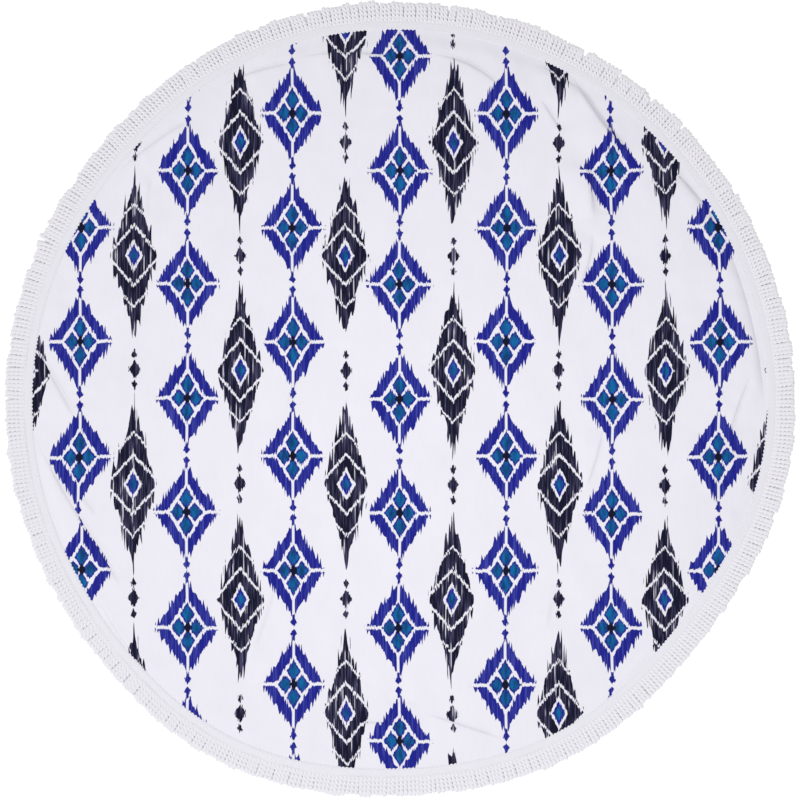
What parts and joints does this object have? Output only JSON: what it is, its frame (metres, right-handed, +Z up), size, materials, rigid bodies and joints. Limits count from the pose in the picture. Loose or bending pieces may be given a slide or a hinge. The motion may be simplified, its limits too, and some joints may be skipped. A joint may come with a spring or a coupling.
{
  "type": "round beach towel",
  "caption": "Round terry beach towel lying flat, printed face up, with a woven heading and a skirt of twisted loops sewn round its edge.",
  "frame": {"origin": "on the surface the towel lies on, under the middle of its outline", "axes": "+Z up out of the printed face, +Y up the print, +X to the right as the face is looked at from above"},
  "size_m": [1.4918, 1.5006, 0.0109],
  "materials": {
    "printed_terry": "white sheared terry, matt, printed in blue, teal and dark navy",
    "heading_tape": "white ribbed cotton tape, matt",
    "loop_yarn": "white two-ply cotton yarn, twisted, matt"
  },
  "bodies": {
    "root": {"towel_cloth": "printed_terry", "fringe_heading": "heading_tape", "fringe_loops": "loop_yarn"}
  },
  "joints": []
}
